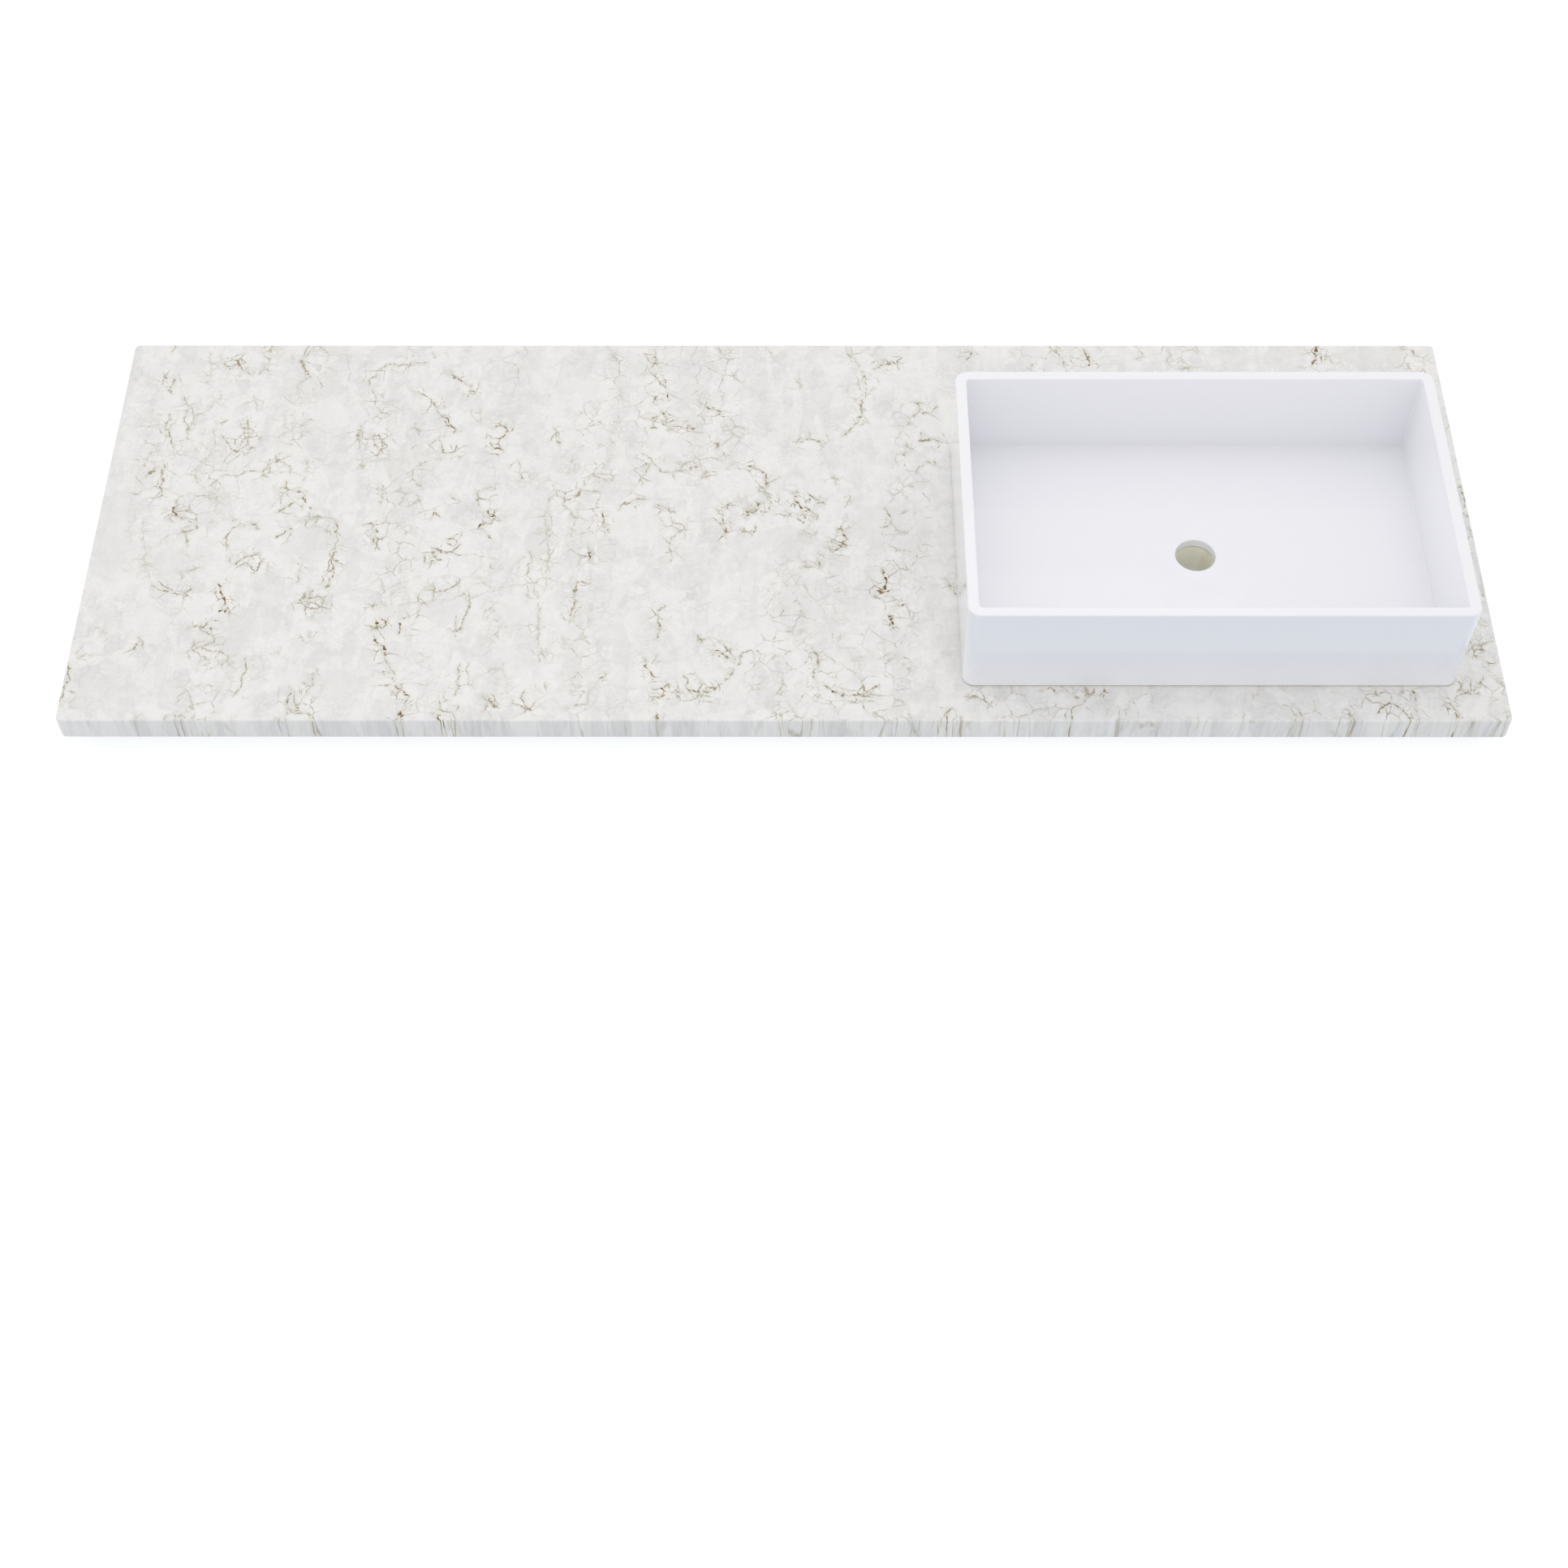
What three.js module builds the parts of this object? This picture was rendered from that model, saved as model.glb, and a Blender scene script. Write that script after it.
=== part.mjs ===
// Vanity sink top: a long engineered stone slab with a white moulded basin standing on its right half.
// Millimetres, +Z up, X to the right seen from the front, Y away from the front. The origin is under the
// middle of the slab, at the height of the underlay rails' lower face.
import * as THREE from 'three';

// Stone slab
const slabLength = 1549.4;
const slabDepth = 558.8;
const slabThickness = 30;
const slabCornerRadius = 6;
const slabArris = 2;

// Basin, measured over its rim
const basinLength = 532;
const basinDepth = 350;
const basinHeight = 120;
const basinWall = 12;
const basinFloor = 12;
const basinRightMargin = 52;
const basinFrontMargin = 45.5;
const basinOuterCorner = 14;
const basinInnerCorner = 3;
const basinDraft = 1;
const basinRimRound = 1.8;
const basinFootRound = 1;
const basinFloorFillet = 2;
const basinFloorFall = 1;

// Drain bore, through basin, sealant, slab and backing plate
const drainBore = 44.5;
const drainLipRound = 1.5;
const drainFootChamfer = 0.5;
const drainLandWidth = 14;

// Tap hole, in the deck behind the basin
const tapHole = 35;

// Sealant bed between basin and slab
const sealantThickness = 1;
const sealantSetback = 1.5;
const beadWidth = 10;
const drainSealWidth = 10;

// Stone plate under the slab round the drain bore
const plateLength = 150;
const plateDepth = 150;
const plateThickness = 12;
const plateCornerRadius = 8;
const plateArris = 1;

// Plywood rails under the slab
const railWidth = 38;
const railThickness = 18;
const railSetback = 16;
const railButtGap = 0.5;

// Counts of steps round curves
const outlineCornerSteps = 6;
const basinCornerSteps = 11;
const holeSteps = 48;
const roundSteps = 4;
const arrisSteps = 3;

// Heights of the layers, from the rails up
const slabBottom = railThickness;
const slabTop = slabBottom + slabThickness;
const plateBottom = slabBottom - plateThickness;
const basinBottom = slabTop + sealantThickness;

// Places in plan
const basinX = slabLength / 2 - basinRightMargin - basinLength / 2;
const basinY = -slabDepth / 2 + basinFrontMargin + basinDepth / 2;
const basinBack = basinY + basinDepth / 2;
const tapY = (basinBack + slabDepth / 2) / 2;
const drainRadius = drainBore / 2;

const stone = new THREE.MeshStandardMaterial({ color: 0xe5e4e1, roughness: 0.3, metalness: 0 });
const glaze = new THREE.MeshStandardMaterial({ color: 0xf2f1f7, roughness: 0.12, metalness: 0 });
const sealant = new THREE.MeshStandardMaterial({ color: 0xcccac5, roughness: 0.5, metalness: 0 });
const plywood = new THREE.MeshStandardMaterial({ color: 0xc9ab7c, roughness: 0.75, metalness: 0 });

// Points round a rectangle with round corners, counter-clockwise from the right side
function roundedOutline(length, depth, radius, steps) {
  const points = [];
  const centres = [[1, 1], [-1, 1], [-1, -1], [1, -1]];
  centres.forEach(([signX, signY], corner) => {
    for (let step = 0; step <= steps; step += 1) {
      const angle = (Math.PI / 2) * (corner + step / steps);
      points.push(new THREE.Vector2(
        signX * (length / 2 - radius) + radius * Math.cos(angle),
        signY * (depth / 2 - radius) + radius * Math.sin(angle),
      ));
    }
  });
  return points;
}

// Points round a circle, counter-clockwise, half a step past the right side
function circleOutline(radius, steps, centre = new THREE.Vector2()) {
  return Array.from({ length: steps }, (_, step) => {
    const angle = (2 * Math.PI * (step + 1 / 2)) / steps;
    return new THREE.Vector2(radius * Math.cos(angle), radius * Math.sin(angle)).add(centre);
  });
}

// Flat plate from z = 0 up, with its outer edges and the rims of its holes eased
function easedPlate(outline, holes, thickness, arris) {
  const shape = new THREE.Shape(outline);
  shape.holes = holes.map((points) => new THREE.Path(points));
  const geometry = new THREE.ExtrudeGeometry(shape, {
    depth: thickness - 2 * arris,
    bevelEnabled: arris > 0,
    bevelThickness: arris,
    bevelSize: arris,
    bevelOffset: -arris,
    bevelSegments: arrisSteps,
  });
  return geometry.translate(0, 0, arris);
}

// Closed body from a run of rings with equal counts of points, whose last ring joins the first
function loopedLoft(rings) {
  const count = rings[0].length;
  const positions = rings.flat().flatMap((point) => point.toArray());
  const faces = [];
  for (let ring = 0; ring < rings.length; ring += 1) {
    const start = ring * count;
    const next = ((ring + 1) % rings.length) * count;
    for (let i = 0; i < count; i += 1) {
      const j = (i + 1) % count;
      faces.push(start + i, start + j, next + j, start + i, next + j, next + i);
    }
  }
  const geometry = new THREE.BufferGeometry();
  geometry.setAttribute('position', new THREE.Float32BufferAttribute(positions, 3));
  geometry.setIndex(faces);
  geometry.computeVertexNormals();
  return geometry;
}

// Quarter round as pairs of shares, from [0, 0] to [1, 1], that leaves along the second share
function quarterShares(steps) {
  return Array.from({ length: steps + 1 }, (_, step) => {
    const angle = (Math.PI / 2) * (step / steps);
    return [1 - Math.cos(angle), Math.sin(angle)];
  });
}

// The basin's section, walked from the outer foot over the rim, down the inside, over the floor and
// down the bore. Each ring is a rounded rectangle until the floor, and a circle from there on.
function basinShell() {
  const rings = [];
  const raise = (points, z) => points.map((point) => new THREE.Vector3(point.x, point.y, z));
  const outerRing = (inset, z) => rings.push(raise(roundedOutline(
    basinLength - 2 * inset, basinDepth - 2 * inset, basinOuterCorner - inset, basinCornerSteps), z));
  const innerRing = (inset, z) => {
    const total = 2 * (basinWall + inset);
    const corner = basinInnerCorner - inset + basinDraft;
    rings.push(raise(roundedOutline(basinLength - total, basinDepth - total, corner, basinCornerSteps), z));
  };
  const boreRing = (radius, z) => rings.push(raise(circleOutline(radius, 4 * (basinCornerSteps + 1)), z));
  const quarter = quarterShares(roundSteps);
  const landHeight = basinFloor - basinFloorFall;

  quarter.forEach(([across, along]) => outerRing(
    basinDraft + basinFootRound * (1 - along), basinFootRound * across));
  quarter.forEach(([across, along]) => outerRing(
    basinRimRound * across, basinHeight - basinRimRound * (1 - along)));
  [...quarter].reverse().forEach(([across, along]) => innerRing(
    -basinRimRound * across, basinHeight - basinRimRound * (1 - along)));
  quarter.forEach(([across, along]) => innerRing(
    basinDraft + basinFloorFillet * across, basinFloor + basinFloorFillet * (1 - along)));
  boreRing(drainRadius + drainLipRound + drainLandWidth, landHeight);
  quarter.forEach(([across, along]) => boreRing(
    drainRadius + drainLipRound * (1 - along), landHeight - drainLipRound * across));
  boreRing(drainRadius, drainFootChamfer);
  boreRing(drainRadius + drainFootChamfer, 0);
  return loopedLoft(rings);
}

const group = new THREE.Group();

function addPiece(name, geometry, material, x, y, z) {
  const mesh = new THREE.Mesh(geometry, material);
  mesh.name = name;
  mesh.position.set(x, y, z);
  group.add(mesh);
}

// Slab, with the drain bore and the tap hole
const drainCentre = new THREE.Vector2(basinX, basinY);
const tapCentre = new THREE.Vector2(basinX, tapY);
addPiece('stone_top', easedPlate(
  roundedOutline(slabLength, slabDepth, slabCornerRadius, outlineCornerSteps),
  [circleOutline(drainRadius, holeSteps, drainCentre), circleOutline(tapHole / 2, holeSteps, tapCentre)],
  slabThickness, slabArris,
), stone, 0, 0, slabBottom);

// Basin
addPiece('basin', basinShell(), glaze, basinX, basinY, basinBottom);

// Sealant under the basin's walls and round its drain bore, set back so that the joint shows as a line
const beadInset = basinDraft + sealantSetback;
addPiece('basin_sealant_bead', easedPlate(
  roundedOutline(basinLength - 2 * beadInset, basinDepth - 2 * beadInset,
    basinOuterCorner - beadInset, outlineCornerSteps),
  [roundedOutline(basinLength - 2 * (beadInset + beadWidth), basinDepth - 2 * (beadInset + beadWidth),
    basinInnerCorner, outlineCornerSteps)],
  sealantThickness, 0,
), sealant, basinX, basinY, slabTop);

const drainSealRadius = drainRadius + slabArris + sealantSetback;
addPiece('drain_seal_ring', easedPlate(
  circleOutline(drainSealRadius + drainSealWidth, holeSteps),
  [circleOutline(drainSealRadius, holeSteps)],
  sealantThickness, 0,
), sealant, basinX, basinY, slabTop);

// Backing plate, which lengthens the drain bore below the slab
addPiece('drain_backing_plate', easedPlate(
  roundedOutline(plateLength, plateDepth, plateCornerRadius, outlineCornerSteps),
  [circleOutline(drainRadius, holeSteps)],
  plateThickness, plateArris,
), stone, basinX, basinY, plateBottom);

// Rails: front and back run the whole length, and the ends and cross rails butt between them
const frameLength = slabLength - 2 * railSetback;
const frameDepth = slabDepth - 2 * railSetback;
const crossLength = frameDepth - 2 * (railWidth + railButtGap);
const longRailY = (frameDepth - railWidth) / 2;
const endRailX = (frameLength - railWidth) / 2;
const basinRailX = basinX - basinLength / 2 + basinWall / 2;
const bareRailX = (basinRailX - endRailX) / 2;

function addRail(name, length, depth, x, y) {
  const geometry = new THREE.BoxGeometry(length, depth, railThickness);
  addPiece(name, geometry, plywood, x, y, railThickness / 2);
}

addRail('front_underlay_rail', frameLength, railWidth, 0, -longRailY);
addRail('back_underlay_rail', frameLength, railWidth, 0, longRailY);
addRail('left_underlay_rail', railWidth, crossLength, -endRailX, 0);
addRail('right_underlay_rail', railWidth, crossLength, endRailX, 0);
addRail('basin_cross_rail', railWidth, crossLength, basinRailX, 0);
addRail('bare_side_cross_rail', railWidth, crossLength, bareRailX, 0);

export default group;
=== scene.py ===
"""Looks of the vanity sink top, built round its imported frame. Metres, +Z up, -Y is the front."""
import math

import bpy
import numpy as np
from mathutils import Matrix, Vector
from mathutils.geometry import delaunay_2d_cdt


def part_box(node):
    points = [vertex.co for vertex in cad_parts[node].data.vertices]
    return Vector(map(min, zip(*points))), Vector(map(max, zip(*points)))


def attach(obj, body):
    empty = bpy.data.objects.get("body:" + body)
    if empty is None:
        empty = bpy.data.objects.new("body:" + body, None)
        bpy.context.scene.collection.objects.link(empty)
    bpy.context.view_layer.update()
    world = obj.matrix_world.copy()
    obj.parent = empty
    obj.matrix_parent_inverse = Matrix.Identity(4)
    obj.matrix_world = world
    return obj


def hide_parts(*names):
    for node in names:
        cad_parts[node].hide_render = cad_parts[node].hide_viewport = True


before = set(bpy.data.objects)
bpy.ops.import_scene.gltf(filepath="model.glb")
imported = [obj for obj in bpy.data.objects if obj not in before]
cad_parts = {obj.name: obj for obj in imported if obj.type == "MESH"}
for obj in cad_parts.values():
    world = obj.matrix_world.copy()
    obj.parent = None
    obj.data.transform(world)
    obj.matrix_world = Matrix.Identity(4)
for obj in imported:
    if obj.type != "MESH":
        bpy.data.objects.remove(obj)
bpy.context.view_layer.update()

# Sizes that the frame's boxes don't give, in metres
SLAB_CORNER = 0.006
SLAB_ARRIS = 0.002
WALL = 0.012
FLOOR = 0.012
FLOOR_FALL = 0.001
DRAFT = 0.001
OUTER_CORNER = 0.014
INNER_CORNER = 0.003
RIM_ROUND = 0.0018
FOOT_ROUND = 0.001
FILLET = 0.002
BORE = 0.02225
LIP = 0.0015
LAND = 0.014
FOOT_CHAMFER = 0.0005
TAP_HOLE = 0.0175
PLATE_CORNER = 0.008
PLATE_ARRIS = 0.001
BEAD_CORNER = 0.0115
BEAD_WIDTH = 0.010

# Trim that differs from the solids: the stone's holes have a finer arris, the bead under the basin reaches
# further out, the seal ring is wider towards the bore, both dip in between their faces, and rails are eased
HOLE_ARRIS = 0.0006
BEAD_REACH = 0.001
SEAL_WIDTH = 0.0132
SEALANT_DIP = 0.0003
PLY_EASE = 0.0004

# Share of a step down into the stone that its pattern takes as a step, so that veins run through its depth
DEPTH_SHARE = 0.12

# Greyness of the stone's palest parts, from 0 to 1
PALEST = 0.06

# Steps round curves
CORNER_STEPS = 15
CIRCLE_STEPS = 4 * (CORNER_STEPS + 1)
ROUND_STEPS = 6
ARRIS_STEPS = 5

# Spacing of the slab's faces, for the fields that its veins are drawn from, how far a field reaches, and the
# length over which a vein fades out at its ends
FIELD_SPACING = 0.005
FIELD_REACH = 0.03
VEIN_END = 0.006

# Veins of the slab: how dark, from 0 to 1, then the places that it passes, in millimetres from the middle
VEINS = (
    (0.7, (-730, 294), (-727, 262)),
    (0.8, (-737, 235), (-730, 225), (-720, 222), (-723, 212), (-721, 200), (-715, 197)),
    (0.6, (-710, 196), (-700, 186), (-698, 172), (-698, 155), (-690, 145), (-693, 130), (-685, 122)),
    (0.85, (-719, 168), (-716, 158), (-722, 147), (-714, 138), (-708, 124), (-703, 110)),
    (0.5, (-683, 268), (-678, 240), (-680, 222), (-684, 212)),
    (1.0, (-668, 251), (-658, 243), (-646, 243), (-650, 253), (-664, 252)),
    (0.6, (-650, 237), (-636, 232), (-626, 226)),
    (0.65, (-621, 294), (-619, 262), (-619, 246)),
    (0.65, (-612, 294), (-611, 262), (-613, 244), (-624, 226)),
    (0.85, (-568, 294), (-571, 262), (-571, 250), (-565, 233), (-557, 220)),
    (0.8, (-420, 250), (-450, 247), (-470, 247), (-478, 240), (-484, 229), (-491, 224), (-488, 208)),
    (0.7, (-488, 208), (-480, 195), (-478, 181), (-470, 170), (-459, 159)),
    (0.8, (-664, 152), (-655, 153), (-646, 157)),
    (0.75, (-652, 134), (-646, 124), (-638, 113), (-629, 107), (-621, 118), (-619, 132), (-625, 150),
     (-628, 164)),
    (0.5, (-624, 199), (-618, 182), (-614, 168)),
    (0.8, (-733, 64), (-727, 75), (-718, 83)),
    (0.8, (-714, 90), (-711, 64), (-709, 40), (-716, 36), (-724, 36)),
    (1.0, (-696, 34), (-686, 28), (-690, 19), (-694, 13), (-684, 8), (-676, 3)),
    (0.8, (-676, 3), (-669, 0), (-661, -9), (-670, -15), (-682, -12)),
    (0.7, (-678, -14), (-671, -26), (-666, -38)),
    (0.6, (-687, 76), (-675, 71), (-667, 53)),
    (0.45, (-722, 4), (-722, -15), (-716, -42), (-712, -70), (-700, -88)),
    (0.45, (-701, -36), (-696, -22), (-688, -17)),
    (0.7, (-657, 52), (-641, 70), (-626, 72), (-611, 79), (-599, 75), (-590, 88), (-580, 93), (-569, 86),
     (-565, 70)),
    (0.9, (-567, 66), (-568, 51), (-559, 48), (-548, 43), (-543, 30), (-545, 16)),
    (0.55, (-549, 98), (-547, 80), (-548, 58)),
    (0.9, (-610, 1), (-600, -3), (-591, -16)),
    (0.8, (-608, 0), (-620, -8), (-627, -22), (-624, -44)),
    (0.85, (-617, -66), (-605, -55), (-593, -48), (-582, -48)),
    (0.9, (-576, -53), (-583, -65), (-592, -78)),
    (0.85, (-576, 12), (-566, 21), (-556, 32)),
    (0.9, (-574, -27), (-561, -15), (-550, -7)),
    (0.7, (-552, -3), (-540, 3), (-521, 8), (-506, 5)),
    (0.85, (-504, 8), (-505, -12), (-503, -36), (-503, -55), (-500, -68), (-503, -86), (-507, -102)),
    (0.6, (-535, -58), (-540, -76), (-537, -94)),
    (0.8, (-530, -100), (-533, -119), (-521, -126), (-509, -124), (-507, -110), (-521, -108), (-529, -112)),
    (0.7, (-493, 150), (-494, 130), (-489, 106)),
    (0.85, (-482, 141), (-475, 121), (-467, 107), (-461, 115), (-467, 131), (-480, 139)),
    (0.6, (-487, 97), (-480, 78)),
    (0.6, (-461, 62), (-458, 40), (-456, 22)),
    (0.9, (-478, -6), (-466, -1), (-458, -15), (-460, -30), (-450, -42)),
    (1.0, (-630, -86), (-620, -103), (-615, -119), (-619, -130), (-610, -127), (-609, -142)),
    (0.9, (-621, -136), (-632, -149), (-617, -156)),
    (0.7, (-654, -156), (-640, -152), (-626, -160), (-619, -171), (-636, -183), (-610, -188), (-603, -196),
     (-622, -212)),
    (0.85, (-703, -88), (-686, -101), (-671, -108), (-660, -102), (-648, -96)),
    (0.65, (-664, -77), (-656, -66), (-648, -72)),
    (0.4, (-748, -172), (-739, -152)),
    (0.95, (-717, -191), (-707, -179), (-702, -188)),
    (0.5, (-767, -196), (-755, -190), (-744, -196)),
    (0.85, (-773, -198), (-770, -230), (-773, -264)),
    (0.7, (-584, -192), (-581, -214), (-586, -239), (-592, -250)),
    (0.9, (-532, -232), (-528, -243), (-530, -262)),
    (0.75, (-503, -207), (-509, -235), (-515, -254), (-522, -266), (-506, -267), (-499, -294)),
    (0.75, (-546, -178), (-551, -192)),
    (0.95, (-519, -156), (-514, -170)),
    (0.9, (-646, -271), (-634, -276)),
    (0.8, (-451, -114), (-448, -129)),
    (1.0, (-446, -138), (-437, -142), (-436, -151), (-446, -152), (-447, -138)),
    (1.0, (-450, -163), (-440, -175), (-434, -186), (-430, -198), (-424, -210), (-417, -218)),
    (1.0, (-417, -218), (-419, -228), (-409, -238), (-402, -250), (-404, -262), (-409, -270), (-408, -294)),
    (0.7, (-442, -231), (-430, -233), (-419, -228)),
    (1.0, (-425, -142), (-417, -150), (-420, -167)),
    (0.6, (-412, -152), (-402, -147), (-401, -128), (-403, -100)),
    (0.9, (-418, 268), (-413, 254)),
    (0.9, (-399, 240), (-388, 225), (-375, 215), (-366, 205), (-361, 193)),
    (0.8, (-441, 206), (-430, 200), (-415, 190), (-407, 175), (-404, 166)),
    (1.0, (-404, 166), (-395, 162), (-388, 151), (-382, 141), (-386, 133)),
    (0.75, (-398, 137), (-400, 120), (-392, 105), (-379, 107), (-380, 122)),
    (0.5, (-368, 176), (-362, 160), (-352, 148)),
    (0.85, (-342, 144), (-330, 149), (-321, 140), (-325, 128), (-338, 127), (-346, 137)),
    (1.0, (-340, 125), (-334, 112), (-321, 109)),
    (0.7, (-306, 97), (-302, 80), (-299, 58)),
    (0.8, (-354, 47), (-348, 34), (-345, 22), (-340, 17)),
    (1.0, (-346, 20), (-338, 17), (-330, 11), (-330, -2), (-341, -5), (-346, -13)),
    (0.8, (-335, -12), (-328, -31)),
    (0.5, (-339, -38), (-335, -54)),
    (0.65, (-382, 46), (-375, 35), (-363, 29)),
    (0.8, (-401, -1), (-395, 12), (-387, 4)),
    (0.9, (-396, -34), (-388, -45), (-378, -48), (-369, -45), (-364, -35), (-370, -25), (-382, -27)),
    (0.9, (-402, -64), (-392, -58), (-385, -58), (-373, -49)),
    (0.8, (-402, -100), (-385, -102), (-370, -98), (-362, -92), (-366, -83)),
    (0.85, (-350, -97), (-345, -108), (-346, -122), (-352, -140), (-356, -161), (-369, -154)),
    (0.6, (-347, -86), (-337, -80), (-333, -97)),
    (0.75, (-349, -198), (-352, -215), (-350, -236), (-357, -249)),
    (0.75, (-357, -249), (-369, -255), (-365, -266), (-352, -268), (-347, -255)),
    (0.85, (-327, -249), (-312, -257), (-301, -263)),
    (0.7, (-270, 148), (-262, 130), (-259, 112)),
    (0.95, (-263, 62), (-257, 54)),
    (0.8, (-264, 46), (-255, 38), (-248, 33), (-238, 38), (-231, 48), (-218, 46), (-206, 47)),
    (0.6, (-241, 21), (-237, 5), (-226, 13)),
    (1.0, (-205, 17), (-205, 0), (-200, -8), (-202, -22)),
    (1.0, (-203, -10), (-193, -9)),
    (0.95, (-218, -36), (-216, -50), (-213, -67)),
    (0.85, (-212, -89), (-228, -88), (-231, -101), (-230, -121), (-236, -148)),
    (0.6, (-245, -163), (-239, -178)),
    (0.55, (-268, 42), (-270, 0), (-267, -25), (-262, -60), (-265, -104)),
    (0.6, (-283, -38), (-283, -80), (-275, -95), (-272, -115)),
    (0.5, (-272, -115), (-268, -140), (-268, -165), (-260, -190), (-255, -207)),
    (0.9, (-275, -236), (-281, -248), (-275, -258), (-265, -267)),
    (0.7, (-268, -229), (-259, -244)),
    (0.9, (-202, -224), (-189, -216)),
    (0.9, (-170, 266), (-155, 262), (-155, 245), (-160, 233)),
    (0.9, (-162, 232), (-150, 228), (-145, 215), (-140, 205)),
    (1.0, (-146, 212), (-138, 203), (-137, 195), (-133, 185)),
    (0.9, (-146, 197), (-155, 185), (-149, 177)),
    (1.0, (-145, 174), (-140, 165), (-137, 155), (-135, 145), (-133, 136)),
    (0.8, (-162, 157), (-150, 160), (-156, 146), (-144, 142)),
    (0.8, (-135, 147), (-112, 145), (-98, 143)),
    (0.9, (-221, 156), (-211, 149)),
    (0.75, (-166, 107), (-150, 90), (-141, 78), (-130, 75), (-125, 58)),
    (0.9, (-151, 89), (-160, 78), (-163, 65), (-161, 53)),
    (0.8, (-129, 75), (-110, 80), (-100, 86), (-102, 104)),
    (0.85, (-187, 22), (-178, 30), (-165, 33), (-150, 35)),
    (1.0, (-189, 15), (-183, 25)),
    (0.65, (-211, 63), (-201, 66), (-191, 57)),
    (0.9, (-147, 26), (-138, 22), (-130, 15), (-118, 14)),
    (0.7, (-128, 11), (-127, 0), (-118, -3), (-113, -5), (-110, -13), (-122, -15), (-128, -30), (-126, -64)),
    (0.9, (-129, -117), (-135, -127), (-138, -142), (-138, -157), (-128, -157)),
    (0.8, (-114, -108), (-107, -116)),
    (1.0, (-149, -188), (-148, -210), (-143, -220), (-133, -223)),
    (1.0, (-143, -235), (-125, -238), (-112, -242), (-95, -240), (-80, -237), (-65, -230)),
    (0.8, (-65, -230), (-55, -215), (-48, -203), (-45, -190), (-36, -185), (-32, -197)),
    (0.8, (-144, -254), (-130, -245), (-123, -238)),
    (0.9, (-137, -263), (-135, -294)),
    (0.8, (-110, -213), (-105, -225), (-104, -241)),
    (0.7, (-76, -223), (-70, -232), (-86, -245), (-73, -246)),
    (1.0, (-82, -181), (-70, -185), (-62, -195), (-56, -202)),
    (0.9, (-84, -163), (-91, -177)),
    (0.95, (-102, 187), (-90, 178), (-78, 170), (-63, 168)),
    (0.85, (-79, 127), (-77, 110)),
    (0.8, (-90, 82), (-88, 70), (-97, 64)),
    (0.9, (-69, 80), (-58, 79)),
    (0.85, (-47, 85), (-30, 82), (-21, 70), (-20, 55), (-20, 40), (-15, 30), (-18, 16), (-28, 9)),
    (1.0, (-26, 33), (-33, 20), (-40, 9), (-46, 2)),
    (0.9, (-36, 29), (-42, 18), (-47, 6)),
    (0.9, (-58, 32), (-70, 16), (-70, 5), (-65, -10), (-62, -30)),
    (0.8, (-46, -6), (-42, -19), (-34, -15), (-32, -1)),
    (1.0, (9, 47), (12, 34), (20, 21), (30, 18), (35, 9), (39, 1)),
    (1.0, (24, 47), (31, 38), (38, 31), (47, 24)),
    (0.9, (14, 52), (13, 31), (6, 20)),
    (0.95, (19, 17), (25, 5), (20, -7)),
    (0.6, (-17, 12), (0, 12), (20, 4)),
    (0.8, (23, -10), (34, -24)),
    (0.9, (61, 72), (57, 61), (64, 55)),
    (0.7, (73, 49), (73, 34), (66, 19)),
    (1.0, (56, -9), (65, -12), (70, -25), (62, -35), (72, -42)),
    (0.8, (34, -48), (40, -60), (43, -73)),
    (0.8, (14, -67), (37, -68)),
    (0.6, (72, 294), (76, 268), (85, 255), (93, 240)),
    (0.85, (93, 240), (97, 225), (95, 202), (92, 181), (90, 165), (82, 150), (75, 140), (66, 131)),
    (0.85, (8, 121), (20, 127), (32, 124), (52, 121)),
    (0.9, (103, 236), (115, 245), (130, 248), (147, 250)),
    (0.8, (101, 212), (112, 206)),
    (0.85, (146, 186), (157, 186), (161, 175), (148, 161)),
    (0.8, (160, 174), (170, 169), (182, 183)),
    (0.9, (160, 142), (159, 125), (174, 125), (192, 120)),
    (0.7, (140, 127), (140, 107), (152, 116)),
    (0.9, (175, 97), (173, 83)),
    (0.8, (112, 24), (120, 6), (116, -8), (105, -8)),
    (1.0, (111, -63), (108, -80), (114, -90), (104, -103), (116, -102), (127, -100)),
    (1.0, (115, -124), (127, -121), (137, -117)),
    (1.0, (116, -128), (112, -139), (121, -140), (115, -150), (127, -157)),
    (0.7, (132, -53), (141, -75)),
    (0.8, (174, -79), (184, -95), (192, -112)),
    (0.8, (28, -178), (35, -190), (37, -205), (32, -220), (40, -232)),
    (1.0, (40, -232), (55, -240), (70, -247), (90, -240), (106, -229)),
    (0.8, (68, -256), (98, -253)),
    (0.7, (-12, -263), (2, -294)),
    (0.6, (-31, 294), (-18, 268), (-14, 252)),
    (0.6, (14, 227), (18, 212), (20, 203)),
    (0.9, (175, -258), (172, -294)),
    (0.8, (193, -254), (207, -246), (225, -262)),
    (0.9, (224, 272), (221, 259), (217, 250)),
    (0.9, (246, 294), (241, 273)),
    (0.6, (270, 274), (275, 258)),
    (0.75, (318, 294), (325, 269), (331, 250), (338, 232)),
    (0.95, (359, 277), (357, 266), (363, 255), (360, 238)),
    (0.6, (410, 294), (424, 266), (431, 255)),
    (0.6, (449, 294), (458, 263), (454, 246)),
    (1.0, (648, 294), (636, 277), (631, 265), (630, 250), (622, 240)),
    (0.9, (649, 274), (643, 262), (640, 247)),
    (0.75, (741, 276), (750, 270), (753, 258)),
    (0.8, (272, -242), (288, -234), (292, -247)),
    (0.85, (324, -230), (325, -245), (320, -255), (306, -264), (304, -294)),
    (0.95, (346, -233), (340, -242), (352, -241)),
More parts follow.
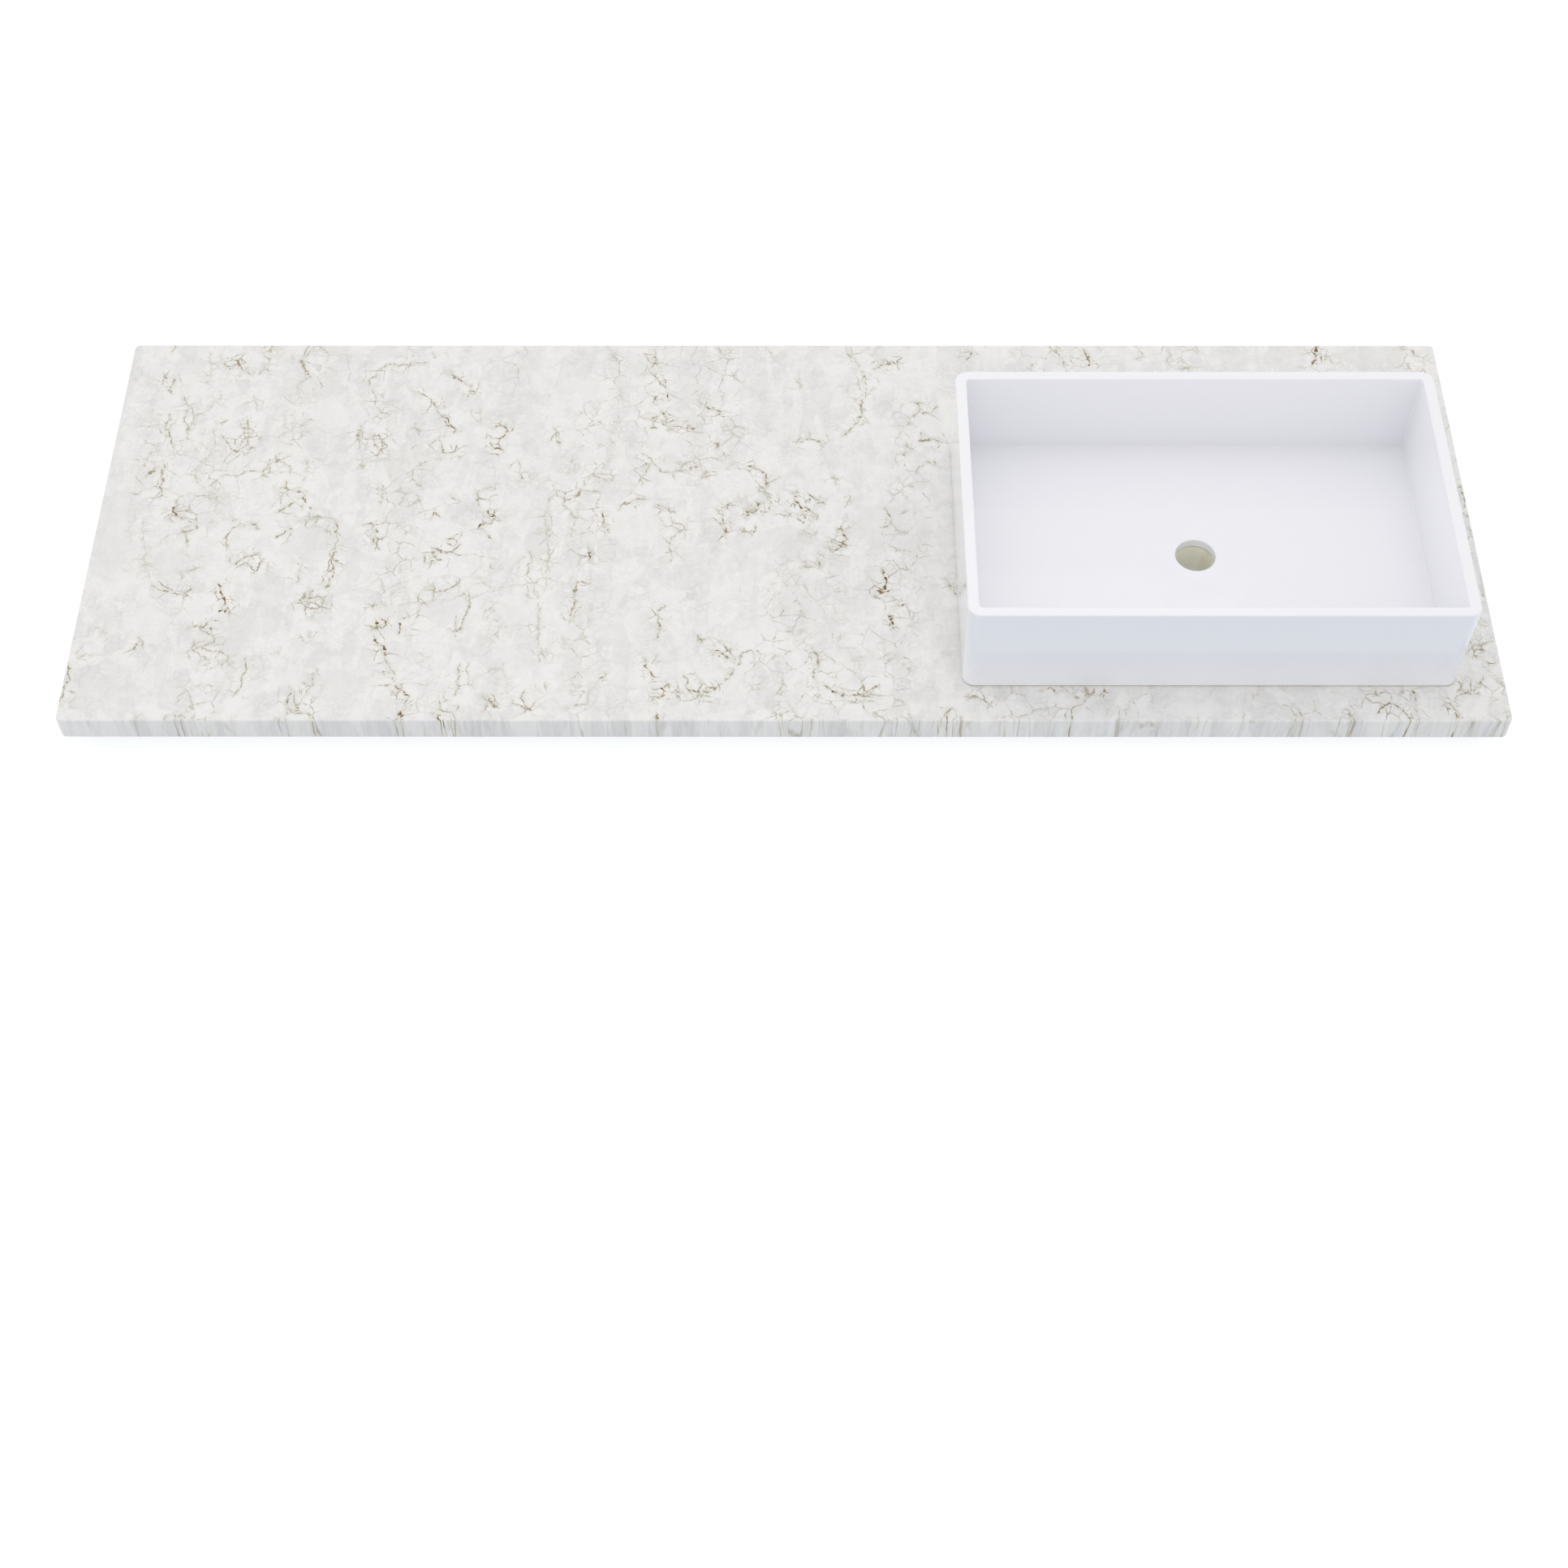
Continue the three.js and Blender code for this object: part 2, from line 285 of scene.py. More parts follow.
    (0.6, (358, -258), (354, -294)),
    (0.8, (498, -237), (504, -253)),
    (0.6, (541, -252), (548, -267), (556, -294)),
    (1.0, (595, -263), (607, -271)),
    (0.9, (631, -234), (637, -250)),
    (0.9, (672, -232), (674, -245), (679, -258)),
    (0.9, (628, -272), (645, -257), (651, -255), (659, -266), (668, -294)),
    (0.9, (703, -251), (712, -255), (716, -268), (719, -294)),
    (0.9, (721, -220), (727, -238), (735, -243), (745, -232), (753, -215)),
    (0.9, (749, -198), (748, -185), (754, -176), (774, -174)),
    (0.9, (751, -198), (764, -201), (774, -198)),
    (0.7, (759, -153), (763, -137)),
    (0.9, (770, 60), (773, 40), (771, 18)),
    (0.7, (769, -92), (773, -113)),
    (0.4, (-691, -266), (-690, -294)),
    (0.8, (-649, -268), (-646, -294)),
    (0.75, (-633, -276), (-635, -294)),
    (0.35, (-588, -270), (-586, -294)),
    (0.6, (-530, -262), (-527, -294)),
    (0.45, (-507, -268), (-507, -294)),
    (0.95, (-371, -262), (-368, -276), (-366, -294)),
    (0.6, (-352, -268), (-350, -294)),
    (0.4, (-168, -270), (-167, -294)),
    (0.45, (28, -272), (30, -294)),
    (0.5, (134, -264), (137, -294)),
    (0.65, (187, -270), (190, -294)),
    (0.4, (235, -262), (235, -294)),
    (0.35, (441, -268), (442, -294)),
    (0.45, (489, -262), (488, -294)),
    (0.45, (592, -271), (590, -294)),
    (0.6, (607, -271), (605, -294)),
    (0.55, (674, -258), (676, -294)),
    (0.7, (722, -270), (724, -294)),
)

# Flat-toned lumps in the slab: place and half widths in millimetres
GREY_LUMPS = (
    (-525, -25, 37, 35), (-755, -20, 24, 62), (-690, -58, 26, 30), (-375, -125, 25, 22), (-275, 5, 13, 60),
    (125, -5, 48, 42), (-10, -26, 36, 17), (-135, 92, 14, 10), (62, 166, 12, 11), (-330, 235, 12, 26),
    (-228, -110, 9, 13), (700, 262, 44, 20), (-600, -160, 34, 26), (20, -120, 30, 22), (-440, 90, 22, 30),
    (330, -255, 26, 16), (560, -262, 30, 15), (-480, -230, 30, 20), (-160, 240, 30, 16), (-560, 210, 36, 24),
)
PALE_LUMPS = (
    (-641, -121, 19, 25), (-165, -4, 38, 34), (-582, 70, 19, 17), (-324, 28, 24, 22), (-110, -214, 20, 18),
    (-390, 118, 10, 12), (-330, 138, 10, 9), (-20, -168, 30, 26), (-640, 135, 14, 12), (-700, 210, 22, 18),
    (-60, 60, 26, 20), (60, -205, 24, 22), (160, 220, 26, 18), (-430, -30, 24, 30), (-250, 200, 34, 26),
    (-690, -150, 26, 22), (-300, -130, 16, 34), (-535, 165, 30, 24), (735, -262, 16, 12), (430, -262, 30, 12),
)

# Photo's camera: the fit's focal length in the photo's pixels, its place in metres and its turns in degrees
PHOTO_PIXELS = 1932
FOCAL_PIXELS = 2978.4
SENSOR = 36
CAMERA_PLACE = (0.0017, -1.8078, 2.111)
CAMERA_PITCH = 54.961
CAMERA_YAW = 0.058
CAMERA_ROLL = -0.022

# Light: the sky's strength and what it gains to both sides, and the soft box's radiance, size and place
SKY_STRENGTH = 0.71
SKY_SIDES = 0.37
LAMP_RADIANCE = 0.28
LAMP_SIZE = 3.2
LAMP_PLACE = (-0.4, 0.7, 2.9)
LAMP_COLOUR = (1.0, 0.99, 0.97)

# Stage floor: half its side in metres, its colour, the faint light that it gives, and what it shows as
STAGE_HALF = 20
STAGE_COLOUR = (0.27, 0.32, 0.365, 1)
STAGE_GLOW = (0.224, 0.2408, 0.28, 1)
STAGE_SEEN = (0.81, 0.81, 0.81, 1)
WHITE = (1, 1, 1, 1)

# Share of a flat stretch where its supporting ring lies, so that shading stays flat between
SUPPORT_SHARE = 0.02


def rounded_rectangle(half_x, half_y, radius, spacing=None):
    """Outline round a rectangle: each corner's centre plus radius times (cos a, sin a), a over a quarter.

    With a spacing, even points are added along the sides, as many at any inset.
    """
    turn = np.linspace(0, 1, CORNER_STEPS + 1)
    corner = np.arange(4)[:, None]
    angle = (corner + turn) * math.pi / 2
    sign_x = np.array([1, -1, -1, 1])[:, None]
    sign_y = np.array([1, 1, -1, -1])[:, None]
    x = sign_x * (half_x - radius) + radius * np.cos(angle)
    y = sign_y * (half_y - radius) + radius * np.sin(angle)
    corners = np.stack([x, y], -1)
    if spacing is None:
        return corners.reshape(-1, 2)
    starts, ends = corners[:, -1], np.roll(corners[:, 0], -1, 0)
    runs = []
    for corner, start, end in zip(corners, starts, ends):
        inner = round(np.abs(end - start).max() / spacing)
        share = np.linspace(0, 1, inner + 1)[1:-1, None]
        runs += [corner, start + share * (end - start)]
    return np.concatenate(runs)


def circle(radius):
    """Outline radius times (cos a, sin a), with points half a step off the X axis."""
    angle = (np.arange(CIRCLE_STEPS) + 1 / 2) * 2 * math.pi / CIRCLE_STEPS
    return radius * np.stack([np.cos(angle), np.sin(angle)], 1)


def raised(outline, height):
    """Outline lifted to one height."""
    return np.column_stack([outline, np.full(len(outline), height)])


def quarter(steps=ROUND_STEPS):
    """Quarter round as two columns of shares: 1 - cos a, and sin a."""
    angle = np.linspace(0, math.pi / 2, steps + 1)
    return np.stack([1 - np.cos(angle), np.sin(angle)], 1)


def grid_faces(rows, columns, wrap_rows):
    """Quads of a grid whose columns close on themselves, and whose rows do so if asked."""
    row = np.arange(rows if wrap_rows else rows - 1)[:, None]
    column = np.arange(columns)[None, :]
    next_row = (row + 1) % rows
    next_column = (column + 1) % columns
    corners = [row * columns + column, row * columns + next_column,
               next_row * columns + next_column, next_row * columns + column]
    return np.stack([c.ravel() for c in corners], 1)


def new_piece(name, vertices, faces, material, replaced, slot):
    """A smooth-shaded piece that rides on the root and stands for its CAD node."""
    mesh = bpy.data.meshes.new(name)
    mesh.from_pydata([tuple(v) for v in vertices], [], [tuple(f) for f in faces])
    mesh.validate()
    mesh.shade_smooth()
    mesh.materials.append(material)
    piece = bpy.data.objects.new(name, mesh)
    bpy.context.scene.collection.objects.link(piece)
    weighted = piece.modifiers.new("flat_faces_stay_flat", "WEIGHTED_NORMAL")
    weighted.weight = 100
    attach(piece, "root")
    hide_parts(replaced)
    return piece


class Value:
    """A shader socket on which plain arithmetic adds Math nodes."""

    def __init__(self, shader, socket):
        self.shader = shader
        self.socket = socket

    def math(self, operation, *others, clamp=False):
        """A Math node with this socket first."""
        settings = {"operation": operation, "use_clamp": clamp}
        return self.shader.add("ShaderNodeMath", settings, dict(enumerate((self, *others))))

    def __add__(self, other):
        return self.math("ADD", other)

    __radd__ = __add__

    def __sub__(self, other):
        return self.math("SUBTRACT", other)

    def __rsub__(self, other):
        return self.shader.add("ShaderNodeMath", {"operation": "SUBTRACT"}, {0: other, 1: self})

    def __mul__(self, other):
        return self.math("MULTIPLY", other)

    __rmul__ = __mul__

    def __truediv__(self, other):
        return self.math("DIVIDE", other)

    def __abs__(self):
        return self.math("ABSOLUTE")

    def step(self, start, end):
        """Smooth step from 0 at start to 1 at end; start may be the larger."""
        settings = {"interpolation_type": "SMOOTHSTEP", "clamp": True}
        inputs = {"Value": self, "From Min": start, "From Max": end, "To Min": 0.0, "To Max": 1.0}
        return self.shader.add("ShaderNodeMapRange", settings, inputs)


class Shader:
    """The node tree of a new material or world, with one method that adds any node."""

    def __init__(self, name, kind=bpy.data.materials):
        self.owner = kind.new(name)
        self.owner.use_nodes = True
        self.tree = self.owner.node_tree
        self.tree.nodes.clear()

    def add(self, kind, settings=None, inputs=None, output=0):
        """A node of that kind, its settings set first, then its sockets' values or links."""
        node = self.tree.nodes.new(kind)
        for key, value in (settings or {}).items():
            setattr(node, key, value)
        for key, value in (inputs or {}).items():
            if isinstance(value, Value):
                self.tree.links.new(value.socket, node.inputs[key])
            else:
                node.inputs[key].default_value = value
        return Value(self, node.outputs[output])

    def coordinates(self, scale=(1, 1, 1), place=(0, 0, 0)):
        """Object coordinates times scale plus place."""
        raw = self.add("ShaderNodeTexCoord", output="Object")
        inputs = {"Vector": raw, "Scale": scale, "Location": place}
        return self.add("ShaderNodeMapping", {}, inputs)

    def noise(self, at, scale, detail=2.0, roughness=0.5, output="Fac"):
        """Noise, of scale lumps a metre."""
        inputs = {"Vector": at, "Scale": scale, "Detail": detail, "Roughness": roughness}
        return self.add("ShaderNodeTexNoise", {}, inputs, output)

    def voronoi(self, at, scale, feature, output="Distance"):
        """Voronoi cells, scale of them a metre."""
        inputs = {"Vector": at, "Scale": scale}
        return self.add("ShaderNodeTexVoronoi", {"feature": feature}, inputs, output)

    def warp(self, at, scale, amount, detail=2.0):
        """Coordinates pushed about by a noise's colour, by amount either way."""
        noise = self.noise(at, scale, detail, output="Color")
        centred = self.add("ShaderNodeVectorMath", {"operation": "SUBTRACT"},
                           {0: noise, 1: (0.5, 0.5, 0.5)})
        inputs = {0: centred, 1: (2 * amount,) * 3, 2: at}
        return self.add("ShaderNodeVectorMath", {"operation": "MULTIPLY_ADD"}, inputs)

    def mix(self, factor, first, second):
        """Colour mix of two colours or links."""
        inputs = {"Factor": factor, 6: first, 7: second}
        return self.add("ShaderNodeMix", {"data_type": "RGBA"}, inputs, output=2)

    def blend(self, first, second, factor):
        """Number between first and second by factor."""
        inputs = {"Factor": factor, 2: first, 3: second}
        return self.add("ShaderNodeMix", {"data_type": "FLOAT"}, inputs)

    def field(self, name):
        """The three numbers of one of a mesh's fields."""
        stored = self.add("ShaderNodeAttribute", {"attribute_name": name}, output="Vector")
        return [self.add("ShaderNodeSeparateXYZ", {}, {0: stored}, axis) for axis in "XYZ"]

    def seen(self):
        """1 for what the camera sees, also mirrored or through glass, and 0 for what gives light."""
        path = "ShaderNodeLightPath"
        straight = self.add(path, output="Is Camera Ray")
        mirrored = self.add(path, output="Is Glossy Ray")
        through = self.add(path, output="Is Transmission Ray")
        return (straight + mirrored).math("ADD", through, clamp=True)

    def surface(self, inputs):
        """Ends the tree in a Principled shader with these sockets."""
        return self.finish(self.add("ShaderNodeBsdfPrincipled", {}, inputs), "ShaderNodeOutputMaterial")

    def finish(self, shader, kind):
        """Ends the tree in that kind of output."""
        node = self.tree.nodes.new(kind)
        self.tree.links.new(shader.socket, node.inputs["Surface"])
        return self.owner


def srgb(red, green, blue):
    """Linear colour from 0-255 sRGB values."""
    share = np.array([red, green, blue]) / 255
    linear = np.where(share <= 0.04045, share / 12.92, ((share + 0.055) / 1.055) ** 2.4)
    return (*linear, 1.0)


class Cells:
    """Cells of one size in the stone: the distance to their edges, and a shade that is even over each."""

    def __init__(self, shader, at, scale):
        self.edge = shader.voronoi(at, scale, "DISTANCE_TO_EDGE")
        colour = shader.voronoi(at, scale, "F1", output="Color")
        self.shade = shader.add("ShaderNodeSeparateColor", {}, {0: colour})


def stone_greyness(s, at, cells, small_cells, reach, streak, mottle):
    """How grey the stone's ground is, from 0 to 1. reach is the distance from the nearest vein."""
    # Tongues and wisps along the slab's depth, seams between cells, pebbles in two sizes, flakes and specks
    tongue_at = s.warp(s.coordinates(scale=(1, 0.36, DEPTH_SHARE)), 11, 0.022, 3)
    tongue_at = s.warp(tongue_at, 140, 0.0014, 3)
    tongue = s.noise(tongue_at, 42, 3, 0.5).step(0.5, 0.512)
    wisp = s.noise(tongue_at, 120, 3, 0.6).step(0.51, 0.545)
    seam = cells.edge.step(0.07, 0.02).math("MAXIMUM", small_cells.edge.step(0.12, 0.04) * 0.7)
    seam = seam * s.noise(at, 26, 3, 0.6).step(0.47, 0.6)
    pebble = cells.shade.step(0.42, 0.62)
    small_pebble = small_cells.shade.step(0.3, 0.8)
    crumbled = s.warp(at, 150, 0.002, 3)
    flake = s.noise(crumbled, 95, 4, 0.6).step(0.5, 0.525)
    speckle = s.noise(crumbled, 230, 3, 0.6).step(0.47, 0.53)
    greyness = tongue * 0.2 + wisp * 0.08 + pebble * 0.09 + small_pebble * 0.1
    greyness = greyness + flake * 0.11 + speckle * 0.1 + streak * 0.08 + seam * 0.3

    # Pale pebbles, which crowd beside the veins
    pale_pebble = cells.shade.step(0.36, 0.3) * reach.step(0.022, 0.01) * 0.4
    small_pale_pebble = small_cells.shade.step(0.4, 0.34) * reach.step(0.014, 0.006) * 0.75
    greyness = s.blend(greyness, PALEST, pale_pebble.math("MAXIMUM", small_pale_pebble))

    # Ragged lumps, grey and pale, which even out what lies in them
    grey_depth, pale_depth, _ = s.field("lump")
    ragged = (s.noise(crumbled, 38, 4, 0.6) - 0.5) * 2.4
    grey_lump = (grey_depth + ragged).step(0.0, 0.04)
    pale_lump = (pale_depth + ragged).step(0.0, 0.06)
    greyness = s.blend(greyness, 0.6, grey_lump * 0.45)
    greyness = s.blend(greyness, PALEST, pale_lump * 0.5)

    greyness = greyness + (mottle - 0.48) * 0.5
    return greyness.math("MAXIMUM", 0.0).math("MINIMUM", 1.0)


def stone_brown(s, at, along, cells, small_cells, vein):
    """How brown the stone's veins are, from 0 to 1. vein holds side, distance and darkness of the nearest."""
    side, reach, darkness = vein
    near = reach.step(0.0078, 0.005)

    # Strands: the slab's own veins, made crinkly, with a width that swells into beads and knots
    crinkle = (s.noise(at, 60, 2, 0.6) - 0.5) * 0.013 + (s.noise(at, 230, 2, 0.6) - 0.5) * 0.0055
    off = abs(side + crinkle)
    gauge = s.noise(at, 135, 3, 0.65).step(0.38, 0.64)
    width = 0.0005 + 0.0009 * gauge
    strand = (off / width).step(1.0, 0.35) * near * darkness * (0.46 + 0.5 * gauge)
    knot = s.noise(at, 165, 1).step(0.58, 0.64) * off.step(0.0022, 0.0012) * near * darkness
    strand = strand.math("MAXIMUM", knot * darkness)
    halo = off.step(0.006, 0.0) * near * darkness * 0.16

    # Crackle: beaded and broken edges of the cells, thick beside strands and thin elsewhere
    stray = s.noise(s.warp(along, 10, 0.02), 11, 2).step(0.5, 0.62)
    crowd = (darkness * reach.step(0.019, 0.006)).math("MAXIMUM", stray * 0.6)
    broken = s.noise(at, 50, 3, 0.6).step(0.42, 0.53)
    bead = 0.45 + 0.55 * s.noise(at, 260, 1).step(0.42, 0.6)
    crackle = cells.edge.step(0.04, 0.012) * broken * bead
    fine = small_cells.edge.step(0.08, 0.03) * s.noise(at, 44, 2).step(0.48, 0.62) * bead
    spot = cells.edge.step(0.12, 0.04) * s.noise(at, 240, 1).step(0.64, 0.74) * broken
    brown = (crackle * 0.82).math("MAXIMUM", fine * 0.46).math("MAXIMUM", spot * 0.85) * crowd
    return brown.math("MAXIMUM", strand).math("MAXIMUM", halo)


def bore_walls(s, bores):
    """1 at the walls of bores, which are centres and radii, and 0 elsewhere."""
    walls = 0.0
    for centre, radius in bores:
        from_axis = s.coordinates((1, 1, 0), (-centre[0], -centre[1], 0))
        away = s.add("ShaderNodeVectorMath", {"operation": "LENGTH"}, {0: from_axis}, output="Value")
        walls = away.step(radius + HOLE_ARRIS, radius) + walls
    return walls


def engineered_stone(bores):
    """Warm white stone with pale grey patches and broken brown crackle veins, drawn out through its depth.

    bores are centres and radii of the drilled holes, whose walls are ground and not polished.
    """
    s = Shader("engineered_stone")
    at = s.coordinates(scale=(1, 1, DEPTH_SHARE))
    along = s.coordinates(scale=(1, 0.2, DEPTH_SHARE))
    crumpled = s.warp(s.warp(at, 24, 0.010, 2), 120, 0.0024, 2)
    cells, small_cells = Cells(s, crumpled, 42), Cells(s, crumpled, 100)
    streak = s.noise(s.warp(along, 14, 0.01), 60, 4, 0.65).step(0.5, 0.58)
    streak = streak * s.noise(at, 7, 1).step(0.45, 0.6)
    mottle = s.noise(at, 560, 2, 0.7)
    vein = s.field("vein")

    # Ground, whose white is painted lighter and warmer on upright faces than on level ones: painted light,
    # standing in for the light that the slab's edges catch
    normal = s.add("ShaderNodeNewGeometry", output="Normal")
    upright_painted_light = 1 - abs(s.add("ShaderNodeSeparateXYZ", {}, {0: normal}, "Z"))
    white = s.mix(upright_painted_light, srgb(245, 244, 242), srgb(254, 251, 246))
    greyness = stone_greyness(s, at, cells, small_cells, vein[1], streak, mottle)
    colour = s.mix(greyness, white, srgb(219, 218, 216))

    # Veins, from olive where they are faint to brown
    brown = stone_brown(s, at, along, cells, small_cells, vein)
    colour = s.mix(brown, colour, s.mix(brown, srgb(177, 166, 114), srgb(114, 76, 0)))

    # Walls of the bores: duller, as ground stone is, and painted lighter and warmer than the polished faces:
    # painted light, standing in for the light that reaches down into them
    walls = bore_walls(s, bores)
    painted_bore_light = s.mix(streak, srgb(255, 252, 230), srgb(243, 236, 208))
    colour = s.mix(walls * 0.7, colour, painted_bore_light)
    roughness = 0.25 + 0.08 * mottle + 0.3 * walls
    return s.surface({"Base Color": colour, "Roughness": roughness, "IOR": 1.5})


def gloss_white():
    """Smooth white basin, with a faint unevenness in its gloss."""
    s = Shader("gloss_white")
    at = s.coordinates()
    tone = s.noise(at, 6, 2)
    colour = s.mix(tone * 0.3, srgb(249, 249, 253), srgb(247, 247, 251))
    roughness = 0.02 + 0.03 * s.noise(at, 40, 3)
    return s.surface({"Base Color": colour, "Roughness": roughness, "IOR": 1.6})


def silicone():
    """Milky sealant, a little uneven."""
    s = Shader("silicone")
    tone = s.noise(s.coordinates(), 160, 3)
    colour = s.mix(tone, srgb(196, 195, 190), srgb(212, 211, 207))
    return s.surface({"Base Color": colour, "Roughness": 0.45 + 0.15 * tone})


def plywood(along_x):
    """Pale plywood: grain along the rail on its faces, and stacked veneers on its edges."""
    s = Shader("plywood_along_x" if along_x else "plywood_along_y")
    stretch = (0.06, 1, 1) if along_x else (1, 0.06, 1)
    at = s.coordinates(scale=stretch)
    grain = s.noise(s.warp(at, 20, 0.01), 130, 4, 0.6)
    pore = s.noise(at, 700, 2, 0.5).step(0.62, 0.75)

    # Veneers up through the rail: every second one lies across, and the glue between shows on the edges only
    veneers = 7
    face_margin = 0.001
    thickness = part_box("front_underlay_rail")[1].z
    height = s.add("ShaderNodeSeparateXYZ", {}, {0: s.coordinates()}, output="Z")
    layer = height * (veneers / thickness)
    cross = layer.math("FLOOR").math("MODULO", 2.0)
    clear = height.step(0.0, face_margin) * (thickness - height).step(0.0, face_margin)
    glue = abs(layer.math("FRACT") - 0.5).step(0.44, 0.5) * clear

    colour = s.mix(grain.step(0.3, 0.7), srgb(218, 190, 147), srgb(188, 152, 104))
    colour = s.mix(cross * 0.35, colour, srgb(168, 132, 88))
    colour = s.mix(pore * 0.35, colour, srgb(138, 104, 66))
    colour = s.mix(glue * 0.6, colour, srgb(104, 76, 48))
    bump = s.add("ShaderNodeBump", {}, {"Strength": 0.25, "Distance": 0.0004, "Height": grain - glue})
    return s.surface({"Base Color": colour, "Roughness": 0.68 + 0.15 * grain, "Normal": bump})


def studio_floor():
    """Pale floor, softly lit from within, that shows white where it is seen, and keeps the shadow."""
    s = Shader("studio_floor")
    return s.surface({"Base Color": STAGE_COLOUR, "Roughness": 0.9, "Emission Strength": 1,
                      "Emission Color": s.mix(s.seen(), STAGE_GLOW, STAGE_SEEN)})


def soft_sky():
    """Even sky, a little brighter to both sides, and a white backdrop behind it."""
    s = Shader("soft_sky", bpy.data.worlds)
    direction = s.add("ShaderNodeTexCoord", output="Generated")
    sideways = abs(s.add("ShaderNodeSeparateXYZ", {}, {0: direction}, output="X"))
    strength = SKY_STRENGTH + SKY_SIDES * sideways
    light = s.add("ShaderNodeBackground", {}, {"Color": WHITE, "Strength": strength})
    backdrop = s.add("ShaderNodeBackground", {}, {"Color": WHITE, "Strength": 1})
    sky = s.add("ShaderNodeMixShader", {}, {0: s.seen(), 1: light, 2: backdrop})
    return s.finish(sky, "ShaderNodeOutputWorld")


def section_shell(low, high):
    """The basin: rings of its section, walked from the foot over the rim, down inside and down the bore."""
    half = (high - low) / 2
    height = high.z - low.z
    land = FLOOR - FLOOR_FALL
    rings = []

    def outer(inset, z):
        rings.append(raised(rounded_rectangle(half.x - inset, half.y - inset, OUTER_CORNER - inset), z))

    def inner(inset, z):
        total = WALL + inset
        corner = INNER_CORNER + DRAFT - inset
        rings.append(raised(rounded_rectangle(half.x - total, half.y - total, corner), z))

    def bore(radius, z):
        rings.append(raised(circle(radius), z))

    def wall(ring, inset_from, z_from, inset_to, z_to):
        for share in (SUPPORT_SHARE, 1 - SUPPORT_SHARE):
            ring(inset_from + share * (inset_to - inset_from), z_from + share * (z_to - z_from))

    for across, along in quarter():
        outer(DRAFT + FOOT_ROUND * (1 - along), FOOT_ROUND * across)
    wall(outer, DRAFT, FOOT_ROUND, 0, height - RIM_ROUND)
    for across, along in quarter():
        outer(RIM_ROUND * across, height - RIM_ROUND * (1 - along))
    for across, along in quarter()[::-1]:
        inner(-RIM_ROUND * across, height - RIM_ROUND * (1 - along))
    wall(inner, 0, height - RIM_ROUND, DRAFT, FLOOR + FILLET)
    for across, along in quarter():
        inner(DRAFT + FILLET * across, FLOOR + FILLET * (1 - along))
    edge = rings[-1]
    rim_of_land = raised(circle(BORE + LIP + LAND), land)
    for share in (SUPPORT_SHARE, 1 - SUPPORT_SHARE):
        rings.append(edge + share * (rim_of_land - edge))
    rings.append(rim_of_land)
    bore(BORE + LIP + SUPPORT_SHARE * LAND, land)
    for across, along in quarter():
        bore(BORE + LIP * (1 - along), land - LIP * across)
    wall(bore, BORE, land - LIP, BORE, FOOT_CHAMFER)
    bore(BORE, FOOT_CHAMFER)
    bore(BORE + FOOT_CHAMFER, 0)
    middle = (low + high) / 2
    rings = np.array(rings) + np.array([middle.x, middle.y, low.z])
    return rings.reshape(-1, 3), grid_faces(len(rings), rings.shape[1], True)


def eased_plate(low, high, arris, outline_at, holes=(), spacing=None):
    """A plate: an eased profile carried round its outline and each hole, and two triangulated faces.

    outline_at gives the outline for an inset, and holes are centres and radii. With a spacing, the top face
    gets even points inside.
    """
    def profile(ease):
        share = quarter(ARRIS_STEPS)
        insets = np.concatenate([ease * (1 - share[:, 1]), ease * share[:, 0]])
        heights = np.concatenate([low.z + ease * share[:, 0], high.z - ease * (1 - share[:, 1])])
        return zip(insets, heights)

    middle = np.array([(low.x + high.x) / 2, (low.y + high.y) / 2])
    loops = [np.array([raised(outline_at(i) + middle, z) for i, z in profile(arris)])]
    for centre, radius in holes:
        rings = [raised(circle(radius + i) + np.array(centre), z) for i, z in profile(HOLE_ARRIS)]
        loops.append(np.array(rings)[:, ::-1])
    faces, bottom, top, count = [], [], [], 0
    for rings in loops:
        rows, columns = rings.shape[:2]
        faces += (grid_faces(rows, columns, False) + count).tolist()
        bottom.append(count + np.arange(columns))
        top.append(count + (rows - 1) * columns + np.arange(columns))
        count += rows * columns
    vertices = np.concatenate([rings.reshape(-1, 3) for rings in loops])
    faces += [face[::-1] for face in flat_face(vertices, bottom)]
    inside = np.arange(0)
    if spacing is not None:
        grid = raised(even_points(low, high, arris + spacing / 2, holes, spacing), high.z)
        inside = len(vertices) + np.arange(len(grid))
        vertices = np.concatenate([vertices, grid])
    faces += flat_face(vertices, top, inside)
    return vertices, faces


def even_points(low, high, margin, holes, spacing):
    """Even points in a rectangle, that keep a margin from its sides and from its holes' rims."""
    steps = [max(round((high[axis] - low[axis] - 2 * margin) / spacing), 1) for axis in (0, 1)]
    along = [np.linspace(low[axis] + margin, high[axis] - margin, steps[axis] + 1) for axis in (0, 1)]
    points = np.stack(np.meshgrid(*along), -1).reshape(-1, 2)
    for centre, radius in holes:
        points = points[np.hypot(*(points - np.array(centre)).T) > radius + margin]
    return points


def flat_face(vertices, rims, inside=()):
    """Triangles, counter-clockwise from above, between one outer rim and the rims of its holes.

    inside names further vertices that lie in the face. A triangle with all its corners on one hole's rim
    fills that hole, so it is left out.
    """
    index = np.concatenate([*rims, inside]).astype(int)
    ends = np.cumsum([len(rim) for rim in rims])
    hole = np.zeros(len(index), int)
    edges = []
    for number, (rim, end) in enumerate(zip(rims, ends)):
        here = np.arange(end - len(rim), end)
        hole[here] = number
        edges += np.stack([here, np.roll(here, -1)], 1).tolist()
    all_triangles, nearest = 0, 1e-7
    flat = [Vector(v[:2]) for v in vertices[index]]
    made = delaunay_2d_cdt(flat, edges, [], all_triangles, nearest)
    triangles = np.array([ids[0] for ids in made[3]])[np.array(made[2])]
    owner = hole[triangles]
    fills_hole = (owner[:, 0] > 0) & (owner == owner[:, :1]).all(1)
    return index[triangles[~fills_hole]].tolist()


